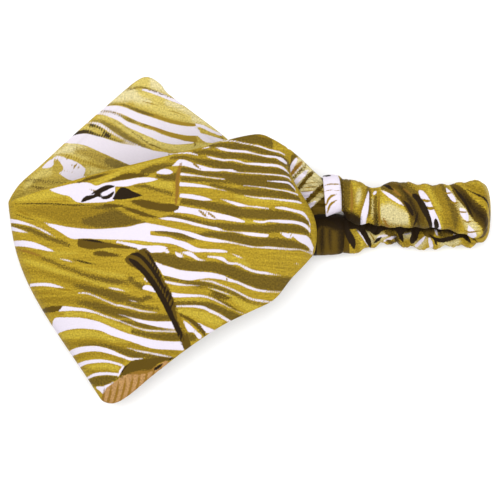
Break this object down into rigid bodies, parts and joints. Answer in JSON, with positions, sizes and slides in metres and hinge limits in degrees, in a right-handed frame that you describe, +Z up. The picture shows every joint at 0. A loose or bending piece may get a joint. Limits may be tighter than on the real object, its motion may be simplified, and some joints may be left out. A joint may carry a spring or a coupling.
{
  "type": "wide fabric headband",
  "caption": "Wide printed cloth headband lying on its side: a folded-over panel gathered at both ends into a gathered elastic casing.",
  "frame": {"origin": "on the surface that the headband lies on, under the middle of its bounding box", "axes": "+X from the folded centre front towards the elastic casing at the back of the head, +Y towards the crown edge of the panel, +Z up from the surface"},
  "size_m": [0.2516, 0.1711, 0.0444],
  "materials": {
    "printed_cloth": "smooth woven cloth with a palm-leaf stripe print in olive, mustard, white and dark brown, low sheen",
    "casing_cloth": "the same printed cloth, gathered over elastic, low sheen"
  },
  "bodies": {
    "root": {"front_panel": "printed_cloth", "elastic_casing": "casing_cloth"}
  },
  "joints": []
}
